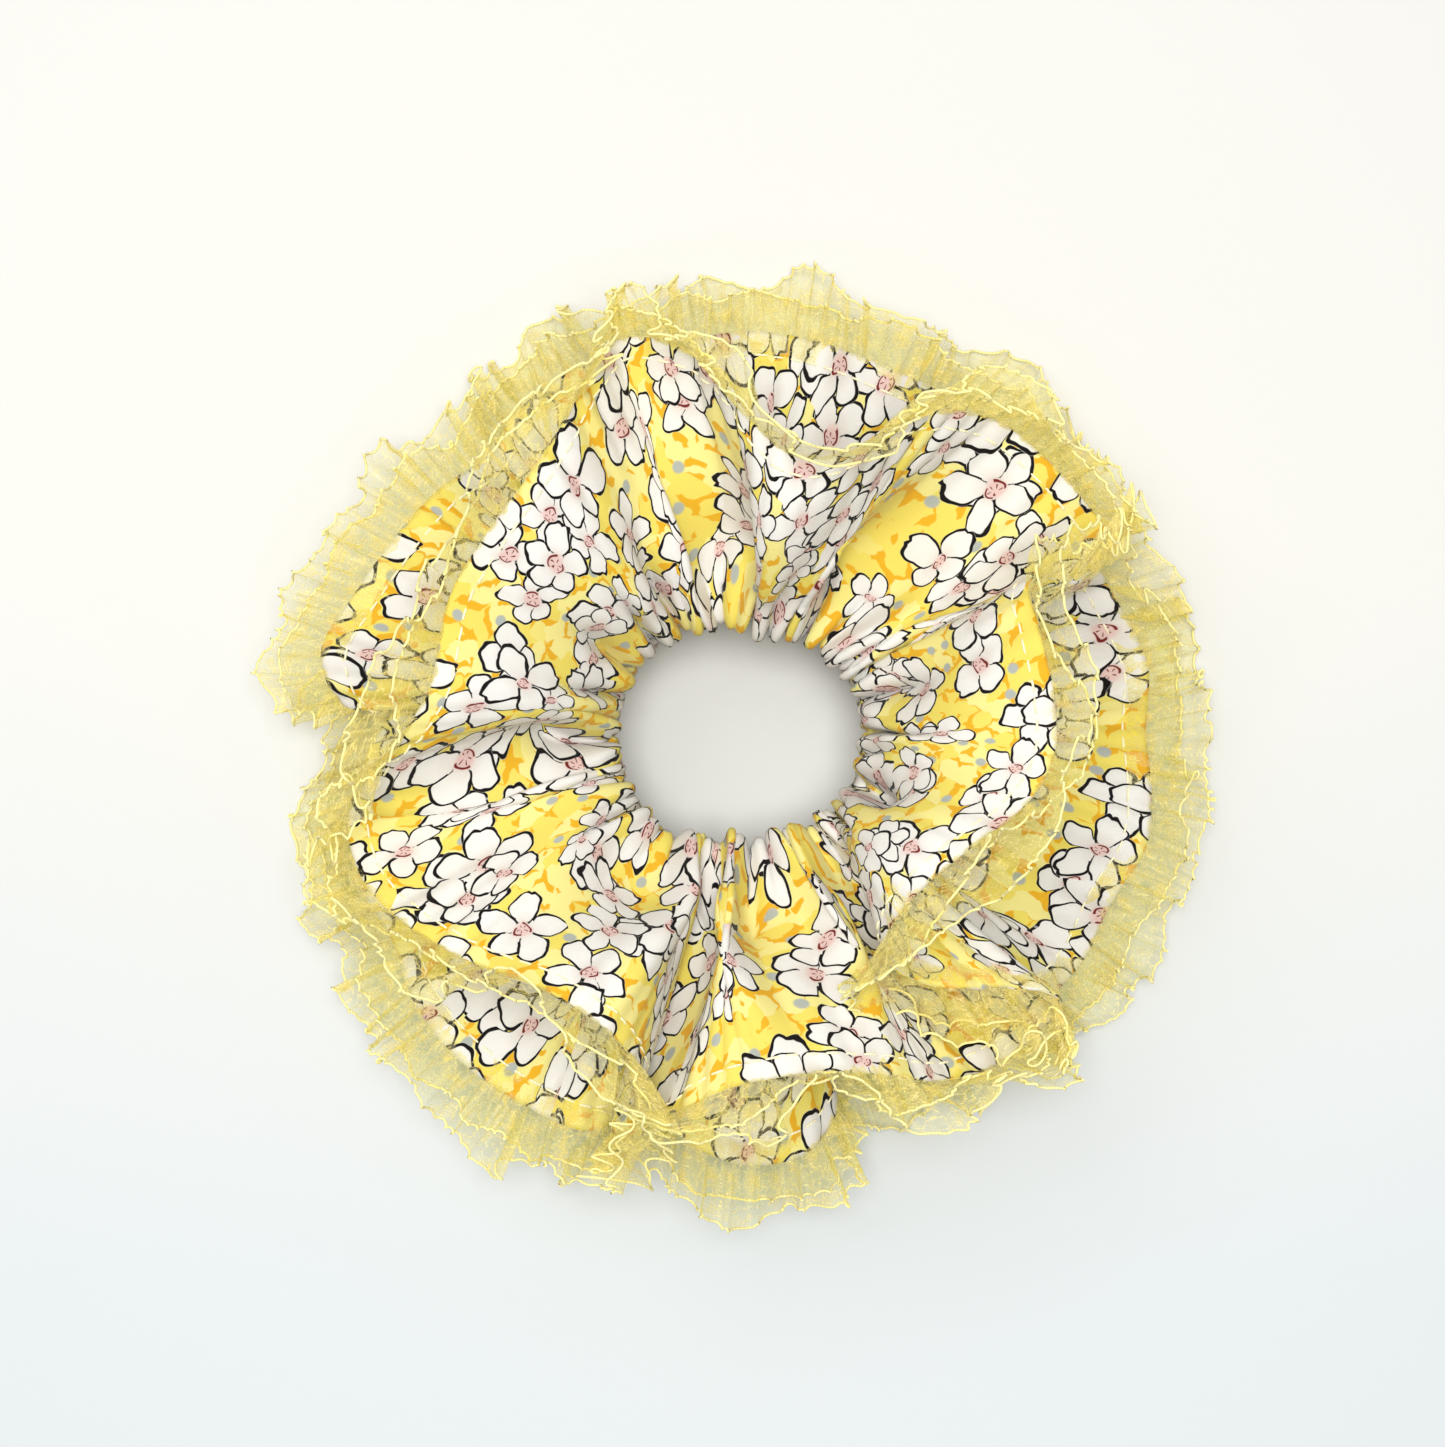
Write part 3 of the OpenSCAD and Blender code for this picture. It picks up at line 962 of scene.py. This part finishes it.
@dataclass
class Frill:
    """A doubled ruffle: face cloth and lining, organza in its hem, and the threads that hold it."""

    side: Side
    stations: list[Station]
    channel_half: float
    floor: float
    seed: int
    root_radius: float = 22.0 * MM
    cloth_width: float = 46.0 * MM
    strip_length: float = 530.0 * MM
    layer_offset: float = 0.42 * MM
    cloth_thickness: float = 0.22 * MM
    trim_width: float = 10.0 * MM
    trim_tuck: float = 4.0 * MM
    trim_strip: float = 900.0 * MM
    topstitch_inset: float = 3.0 * MM
    rim_lean: float = 5.0 * MM
    hem_ease: float = 1.5 * MM
    bell_rise: float = 0.82
    trim_tilt: float = 0.1
    heading_share: float = 0.64
    edge_yarn_radius: float = 0.22 * MM
    gathering_yarn_radius: float = 0.15 * MM
    seam_place: float = 0.655
    joining_radius: float = 24.6 * MM
    row_crowding: float = 0.0405
    divisions: int = 760
    rows: int = 46
    trim_divisions: int = 3040

    def __post_init__(self) -> None:
        """Works out the frill's middle surface, which its pieces share."""
        self.name = self.side.name.lower()
        self.sign = self.side.value
        self.root_z = self.sign * (self.channel_half - 0.4 * MM)
        self.turns = np.arange(self.divisions) / self.divisions
        self.across = self.row_places()
        self.middle = self.folded(self.swept())
        self.normals = face_normals(self.middle)

    def row_places(self) -> Grid:
        """Spaces rows across the cloth, closer together at both ends.

        Returns:
            Places from the root, 0, to the hem, 1.
        """
        even = np.linspace(0, 1, self.rows)
        return even - self.row_crowding * np.sin(math.tau * even)

    def hem_line(self) -> Grid:
        """The hem's line through its stations.

        Returns:
            Points in metres, evenly spaced.
        """
        points = []
        for angle, station_radius, lift in self.stations:
            turn = math.radians(angle)
            radius = station_radius * MM + self.hem_ease
            run = radius - self.root_radius
            if self.side is Side.UPPER:
                rise = self.bell_rise * math.sqrt(max(self.cloth_width**2 - run**2, 0.0))
                z = self.root_z + rise + lift * MM
            else:
                z = self.floor + lift * MM
            points.append([radius * math.cos(turn), radius * math.sin(turn), z])
        return blurred_loop(smooth_loop(np.array(points), self.divisions), 0.0016)

    def swept(self) -> Grid:
        """Sweeps the cloth from the gathered root to the hem, as a bell.

        Returns:
            A grid of points, round by out, in metres.
        """
        hem = self.hem_line()
        hem_angle = np.unwrap(np.arctan2(hem[:, 1], hem[:, 0]))
        drift = hem_angle - hem_angle[0] - math.tau * self.turns
        root_angle = hem_angle[0] + math.tau * self.turns + 0.75 * blurred_loop(drift, 0.012)
        out = np.column_stack([np.cos(root_angle), np.sin(root_angle), np.zeros(self.divisions)])
        root = out * self.root_radius
        root[:, 2] = self.root_z
        reach = np.linalg.norm(hem - root, axis=1, keepdims=True)
        up = np.array([[0.0, 0.0, 1.0]])
        outwards = unit((hem - root) * [[1, 1, 0]])
        if self.side is Side.UPPER:
            leaving, arriving, pulls = unit(up + 0.12 * out), unit(outwards + 0.22 * up), (0.42, 0.36)
        else:
            leaving, arriving, pulls = unit(out - up), outwards, (0.2, 0.42)
        handle_a = root + pulls[0] * reach * leaving
        handle_b = hem - pulls[1] * reach * arriving
        v = self.across[None, :, None]
        p0, p1, p2, p3 = (p[:, None, :] for p in (root, handle_a, handle_b, hem))
        return (1 - v) ** 3 * p0 + 3 * (1 - v) ** 2 * v * p1 + 3 * (1 - v) * v * v * p2 + v**3 * p3

    def folded(self, base: Grid) -> Grid:
        """Adds the gathers, which merge into fewer and larger folds away from the root.

        Args:
            base: The swept surface.

        Returns:
            The surface with its folds.
        """
        normals = face_normals(base)
        v = self.across[None, :]
        slant = 0.006 * np.sin(math.tau * 3 * self.turns + self.seed)[:, None] * v
        turns = self.turns[:, None] + slant
        folds = np.zeros_like(turns)
        for order, (depth, reach, crests, spread) in enumerate(GATHERS, 1):
            wave = ripple(turns, crests, spread, self.seed + order)
            folds = folds + depth * hump(*reach, v) * gathered(wave)
        folds = folds + 0.25 * MM * hump(0.5, 0.95, 1.4, v) * ripple(turns, 96, 0.4, self.seed + 4)
        along = ahead_of(base)
        # The widest folds also lean over, a quarter of a wave behind their height
        lean = depth * hump(0.0, 0.4, 1.2, v) * ripple(turns, crests, spread, self.seed + order, math.pi / 2)
        surface = base + folds[..., None] * normals + lean[..., None] * along
        if self.side is Side.UPPER:
            across = 0.3 + 0.7 * np.abs(np.sin(math.tau * self.turns + 0.35))[:, None] ** 3
            inwards = -unit(base * [1, 1, 0])
            surface += (self.rim_lean * across * hump(-0.02, 0.08, 0.26, v))[..., None] * inwards
        return self.above_floor(surface, 0.7 * MM)

    def above_floor(self, points: Grid, clearance: float) -> Grid:
        """Keeps points off the surface that the scrunchie rests on.

        Args:
            points: Points in metres.
            clearance: How far above the surface they stay.

        Returns:
            The points, eased up where they were too low.
        """
        soft = 1.2 * MM
        lifted = points.copy()
        room = points[..., 2] - (self.floor + clearance)
        lifted[..., 2] = self.floor + clearance + soft * np.logaddexp(0, room / soft)
        keep = smooth_step(2 * MM, 6 * MM, room)
        lifted[..., 2] = keep * points[..., 2] + (1 - keep) * lifted[..., 2]
        return lifted

    def cloth(self, label: str, way: int) -> Piece:
        """Makes one layer of the frill's cloth, rolled in towards the other at the hem.

        Args:
            label: The layer's name.
            way: 1 for the face, -1 for the lining.

        Returns:
            The layer.
        """
        to_hem = (1 - self.across) * self.cloth_width
        close = 1 - 0.72 * (1 - smooth_step(0, 1.3 * MM, to_hem))
        near_root = 0.5 + 0.5 * smooth_step(0, 0.06, self.across)
        offset = way * self.layer_offset * close * near_root
        points = self.middle + offset[None, :, None] * self.normals
        width = self.across * self.cloth_width
        if way < 0:
            width = width + self.cloth_width * 1.7
        piece = sheet_object(f"{self.name}_{label}", points, width, self.strip_length, self.seam_place)
        thicken(piece, self.cloth_thickness)
        return piece

    def hem_frame(self, count: int) -> tuple[Grid, Grid, Grid]:
        """The hem line with the directions out of the hem and out of the face.

        Args:
            count: How many places round the hem.

        Returns:
            Points, outward directions and face directions.
        """
        hem = self.middle[:, -1]
        inner = self.middle[:, -6]
        outwards = unit(blurred_loop(unit(hem - inner), 0.002))
        normals = unit(blurred_loop(self.normals[:, -3], 0.0015))
        known = np.append(self.turns, 1.0)
        places = np.arange(count) / count
        line, out, up = (read_rows(places, known, closed_up(rows)) for rows in (hem, outwards, normals))
        return line, unit(out), unit(up)

    def pleated(self, widths: Grid, depth: float, crests: int, seed: int, lift: float) -> Grid:
        """Sweeps a gathered ribbon out of the hem.

        Args:
            widths: Distances past the hem, in metres; negative inside it.
            depth: Half the depth of its pleats at the free edge.
            crests: About how many pleats go round.
            seed: Chooses the pleats.
            lift: How far the ribbon lies from the frill's middle, towards the face.

        Returns:
            A grid of points, round by out, in metres.
        """
        line, out, up = self.hem_frame(self.trim_divisions)
        turns = np.arange(self.trim_divisions) / self.trim_divisions
        along = ahead_of(line)
        grow = smooth_step(-2.5 * MM, 4.0 * MM, widths)
        puff = ripple(turns, crests, 0.45, seed)
        overhang = ripple(turns, crests, 0.45, seed, math.pi / 2)
        fine = ripple(turns, crests * 5 // 2, 0.3, seed + 50)
        curl = ripple(turns, crests * 5 // 2, 0.3, seed + 50, math.pi / 2)
        slow = ripple(turns, crests // 4, 0.6, seed + 60)
        w = widths[None, :]
        near = smooth_step(6 * MM, -1 * MM, w)
        rise = depth * ((puff + 0.35 * slow)[:, None] + 0.3 * (0.4 + near) * fine[:, None])
        sway = depth * (0.4 * overhang + 0.22 * curl)[:, None]
        tilt = (self.trim_tilt + 0.42 * ripple(turns, 17, 0.5, seed + 80))[:, None, None]
        out = np.cos(tilt) * out[:, None, :] + np.sin(tilt) * up[:, None, :]
        edge = 1 + (0.15 * slow + 0.03 * puff + 0.03 * fine)[:, None] * grow[None, :]
        ribbon = (
            line[:, None, :]
            + (w * edge)[..., None] * out
            + (lift + rise * grow[None, :])[..., None] * up[:, None, :]
            + (sway * grow[None, :])[..., None] * along[:, None, :]
        )
        return self.above_floor(ribbon, 0.35 * MM)

    def trim(self, finishes: Finishes) -> None:
        """Makes the organza ribbon, its shorter upper layer and the yarns along their edges.

        Args:
            finishes: The materials.
        """
        node = f"{self.name}_organza_trim"
        layers = [
            ("organza_ribbon", self.trim_width, 1.25 * MM, 118, 200, 0.0),
            ("organza_heading", self.heading_share * self.trim_width, 1.05 * MM, 140, 300, 0.6 * MM),
        ]
        for label, width, depth, crests, seed, lift in layers:
            widths = np.concatenate([[-self.trim_tuck, -1.0 * MM], np.linspace(0, width, 12)])
            points = self.pleated(widths, depth, crests, self.seed + seed, lift)
            piece = sheet_object(f"{self.name}_{label}", points, widths + self.trim_tuck, self.trim_strip)
            yarn = tube_object(f"{self.name}_{label}_edge_yarn", points[:, -1], self.edge_yarn_radius, 5)
            dress(yarn, finishes.yellow_yarn, node)
            dress(piece, finishes.organza, node)

    def threads(self, finishes: Finishes) -> None:
        """Makes the topstitching, the gathering thread and the seams that hold the frill.

        Args:
            finishes: The materials.
        """
        inset = 1 - self.topstitch_inset / self.cloth_width
        row = int(np.argmin(np.abs(self.across - inset)))
        over = self.layer_offset + self.cloth_thickness / 2
        normals = self.normals[:, row]
        top = StitchRow(f"{self.name}_topstitches").along(self.middle[:, row] + over * normals, normals)
        tuck = 1 - (self.trim_tuck + 0.3 * MM) / self.cloth_width
        row = int(np.argmin(np.abs(self.across - tuck)))
        caught = self.middle[:, row]
        gather = tube_object(f"{self.name}_gathering_yarn", caught, self.gathering_yarn_radius, 6)
        column = int(self.divisions * self.seam_place)
        rows = slice(3, self.rows - 2)
        under = -self.normals[column, rows]
        seam_line = self.middle[column, rows] + over * under
        end_row = StitchRow(f"{self.name}_end_seam", length=1.8 * MM, gap=0.5 * MM)
        end_seam = end_row.along(seam_line, under, closed=False)
        turn = self.turns * math.tau
        height = self.sign * (self.channel_half + 0.15 * MM)
        circle = [self.joining_radius * np.cos(turn), self.joining_radius * np.sin(turn)]
        ring = np.column_stack([*circle, np.full(len(turn), height)])
        away = np.tile([0.0, 0.0, float(self.sign)], (len(turn), 1))
        joining = StitchRow(f"{self.name}_joining_stitches", length=2.2 * MM, gap=0.5 * MM).along(ring, away)
        for piece, node in (
            (top, "hem_topstitching"),
            (gather, "trim_gathering_thread"),
            (end_seam, "frill_end_seam_stitching"),
            (joining, "frill_joining_seam"),
        ):
            dress(piece, finishes.cream_thread, f"{self.name}_{node}")

    def build(self, finishes: Finishes) -> None:
        """Makes every piece of the frill.

        Args:
            finishes: The materials.
        """
        for label, way in (("frill_face", 1), ("frill_lining", -1)):
            piece = self.cloth(label, way)
            dress(piece, finishes.lawn, f"{self.name}_{label}_cloth")
        self.trim(finishes)
        self.threads(finishes)


@dataclass
class ElasticChannel:
    """The puckered tube of cloth that the elastic runs in."""

    inner_radius: float = 20.0 * MM
    outer_radius: float = 26.2 * MM
    half_height: float = 6.0 * MM
    strip_length: float = 250.0 * MM
    cloth_thickness: float = 0.2 * MM
    seam_angle: float = 252.0
    squareness: float = 0.5
    pucker_depth: float = 0.36 * MM
    swell_depth: float = 0.1 * MM
    divisions: int = 900
    rows: int = 44
    seed: int = 90

    def section(self) -> tuple[Grid, Grid, Grid]:
        """The tube's section as a rounded box, anticlockwise from the inner wall's middle.

        Returns:
            Radii, heights and how freely each place puckers.
        """
        turn = np.arange(self.rows + 1) / self.rows * math.tau + math.pi
        c, s = np.cos(turn), np.sin(turn)
        x = np.sign(c) * np.abs(c) ** self.squareness
        z = np.sign(s) * np.abs(s) ** self.squareness
        middle = (self.inner_radius + self.outer_radius) / 2
        half = (self.outer_radius - self.inner_radius) / 2 - 0.3 * MM
        free = 0.35 + 0.65 * np.abs(c) ** 0.7
        return middle + half * x, self.half_height * z, free

    def build(self, finishes: Finishes) -> None:
        """Makes the tube and its end seam.

        Args:
            finishes: The materials.
        """
        radii, heights, free = self.section()
        turns = np.arange(self.divisions) / self.divisions
        pucker = gathered(ripple(turns, 62, 0.3, self.seed))[:, None] * self.pucker_depth
        pucker = pucker + ripple(turns, 30, 0.4, self.seed + 1)[:, None] * self.swell_depth
        inner = radii < (self.inner_radius + self.outer_radius) / 2
        depth = np.where(inner, 0.9, 2.2) * free
        r = radii[None, :] + np.where(inner, -1, 1)[None, :] * pucker * depth[None, :]
        angle = turns[:, None] * math.tau
        points = np.stack([r * np.cos(angle), r * np.sin(angle), np.broadcast_to(heights, r.shape)], -1)
        lengths = np.hypot(np.diff(radii), np.diff(heights))
        across = np.concatenate([[0], np.cumsum(lengths)])
        piece = sheet_object("elastic_channel_cloth", points, across, self.strip_length)
        choose(piece)
        bpy.ops.object.mode_set(mode="EDIT")
        bpy.ops.mesh.select_all(action="SELECT")
        bpy.ops.mesh.remove_doubles(threshold=0.00001)
        bpy.ops.mesh.normals_make_consistent(inside=False)
        bpy.ops.object.mode_set(mode="OBJECT")
        thicken(piece, self.cloth_thickness)
        dress(piece, finishes.lawn, "elastic_channel")
        seam_turn = math.radians(self.seam_angle)
        z = np.linspace(-0.8, 0.8, 12) * self.half_height
        out = np.array([math.cos(seam_turn), math.sin(seam_turn), 0.0])
        path = out[None, :] * (self.outer_radius + 0.2 * MM) + z[:, None] * np.array([[0.0, 0.0, 1.0]])
        row = StitchRow("channel_end_stitches", length=1.8 * MM, gap=0.4 * MM)
        seam = row.along(path, np.tile(out, (len(z), 1)), closed=False)
        dress(seam, finishes.cream_thread, "channel_end_seam_stitching")


@dataclass
class Elastic:
    """The flat elastic ring and the zigzag that joins its lapped ends, both as the frame has them."""

    band: str = "elastic_band"
    zigzag: str = "elastic_lap_stitching"

    def finish(self, finishes: Finishes) -> None:
        """Gives both nodes their finish.

        Args:
            finishes: The materials.
        """
        for node, material in ((self.band, finishes.elastic), (self.zigzag, finishes.cream_thread)):
            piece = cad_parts[node]
            for slot in piece.material_slots:
                slot.material = material
            log.info("%s: finished as packed", node)


# ---- studio


@dataclass
class Studio:
    """A pale table, soft light from above and the camera over the opening."""

    floor: float
    aim: tuple[float, float, float] = (-0.0029, 0.0014, 0.012)
    elevation: float = 88.0
    distance: float = 0.55
    frame_width: float = 0.2335
    sensor_mm: float = 36.0
    table_size: float = 6.0
    table_warm: str = "#D5D3CC"
    table_cool: str = "#C9CDCD"
    surround: float = 0.46

    def camera(self) -> None:
        """Sets the camera almost straight above, with the frill's top side square to it."""
        lens = bpy.data.cameras.new("camera")
        camera = bpy.data.objects.new("camera", lens)
        bpy.context.scene.collection.objects.link(camera)
        tilt = math.radians(self.elevation)
        away = Vector((0, -math.cos(tilt), math.sin(tilt))) * self.distance
        camera.location = Vector(self.aim) + away
        camera.rotation_euler = (-away).to_track_quat("-Z", "Y").to_euler()
        lens.sensor_width = self.sensor_mm
        lens.lens = self.sensor_mm * self.distance / self.frame_width
        bpy.context.scene.camera = camera

    def table(self) -> None:
        """Lays the pale table top under the lower frill."""
        bpy.ops.object.select_all(action="DESELECT")
        bpy.ops.mesh.primitive_plane_add(size=self.table_size, location=(0, 0, self.floor))
        top = bpy.context.active_object
        top.name = "table_top"
        material, g, surface = new_material("pale_laminate")
        place = g.add("TexCoord").node.outputs["Object"]
        y = g.add("SeparateXYZ", place).node.outputs[1]
        # The top turns cooler and a little darker towards -Y
        cool = g.add("MapRange", y, -0.09, 0.03, 1.0, 0.0)
        tone = g.add("Mix.RGBA", cool, linear(self.table_warm), linear(self.table_cool))
        # Pressed laminate with a fine matt texture: wide, weak highlights
        laminate = g.add("BsdfPrincipled", named={"Base Color": tone, "Roughness": 0.6})
        g.tree.links.new(laminate, surface)
        top.data.materials.append(material)

    def lights(self) -> None:
        """Sets a soft light straight above, a weaker one to the side and an even white surround."""
        for name, place, size, power, colour in (
            ("window_softbox", (-0.4, 0.4, 0.95), 0.6, 2.7, "#FFFDFA"),
            ("overhead_softbox", (0.0, 0.0, 1.1), 0.36, 11.0, "#FDFEFF"),
        ):
            light = bpy.data.lights.new(name, "AREA")
            light.size = size
            light.energy = power
            light.color = linear(colour)[:3]
            lamp = bpy.data.objects.new(name, light)
            bpy.context.scene.collection.objects.link(lamp)
            lamp.location = place
            lamp.rotation_euler = (-Vector(place)).to_track_quat("-Z", "Y").to_euler()
        world = bpy.data.worlds.new("white_room")
        world.use_nodes = True
        background = world.node_tree.nodes["Background"]
        background.inputs[0].default_value = linear("#F6F8FC")
        background.inputs[1].default_value = self.surround
        bpy.context.scene.world = world
        bpy.context.scene.view_settings.view_transform = "Standard"


UPPER_STATIONS: list[Station] = [
    # angle round from +X in degrees, radius in mm, extra height in mm
    (18, 47, 0), (27, 49, -4), (24, 57, -7), (27, 66, 0), (35, 65, 0), (42, 64, 0), (49, 63, 0),
    (55, 60, 0), (60, 56, 0), (64, 50, 0), (70, 43, 0), (79, 41, 0), (88, 46, 0), (93, 53, 0),
    (99, 60, 0), (107, 64, 2), (114, 59, 0), (120, 54, 0), (129, 50, 0), (143, 48, 0), (155, 48, 0),
    (164, 47, 0), (173, 47, 0), (181, 51, 0), (188, 59, 0), (194, 63, 0), (202, 63, 0), (211, 59, 0),
    (221, 54, 0), (234, 49, 0), (247, 50, 0), (254, 58, -8), (252, 66, 0), (257, 64, 3), (267, 55, 0),
    (280, 53, 0), (291, 56, 0), (300, 63, 0), (308, 66, 2), (316, 67, 4), (320, 64, 3), (316, 57, -6),
    (308, 50, -10), (303, 44, -12), (304, 39, -8), (311, 36, -3), (322, 36, 0), (334, 39, 0), (345, 44, 0),
    (355, 47, 0), (366, 47, 0),
]

LOWER_STATIONS: list[Station] = [
    # angle round from +X in degrees, radius in mm, height above the table in mm
    (0, 67, 8), (10, 69, 3), (20, 66, 10), (30, 64, 16), (40, 66, 8), (50, 68, 3), (60, 66, 9),
    (68, 65, 14), (78, 67, 6), (88, 68, 3), (98, 66, 10), (106, 65, 15), (115, 67, 6), (124, 66, 3),
    (133, 62, 12), (141, 63, 19), (150, 64, 22), (160, 66, 23), (169, 69, 21), (176, 64, 16),
    (173, 56, 9), (181, 61, 5), (192, 66, 3), (202, 67, 8), (211, 66, 12), (219, 68, 19), (228, 69, 22),
    (240, 69, 21), (250, 68, 19), (254, 60, 12), (253, 57, 14), (261, 65, 20), (270, 69, 22),
    (279, 68, 22), (285, 61, 14), (283, 56, 6), (291, 58, 3), (300, 61, 5), (309, 62, 12), (318, 66, 9),
    (327, 68, 3), (336, 67, 9), (345, 69, 12), (353, 68, 11),
]


def main() -> None:
    """Builds the scrunchie and its studio."""
    floor = CAD_BOX[0][2]
    studio = Studio(floor)
    studio.camera()
    finishes = Finishes()
    channel_low, channel_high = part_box("elastic_channel")
    half = (channel_high[2] - channel_low[2]) / 2
    ElasticChannel(half_height=half).build(finishes)
    Elastic().finish(finishes)
    Frill(Side.UPPER, UPPER_STATIONS, half, floor, seed=11, trim_tilt=0.72).build(finishes)
    Frill(Side.LOWER, LOWER_STATIONS, half, floor, seed=31).build(finishes)
    studio.table()
    studio.lights()


if __name__ == "__main__":
    main()
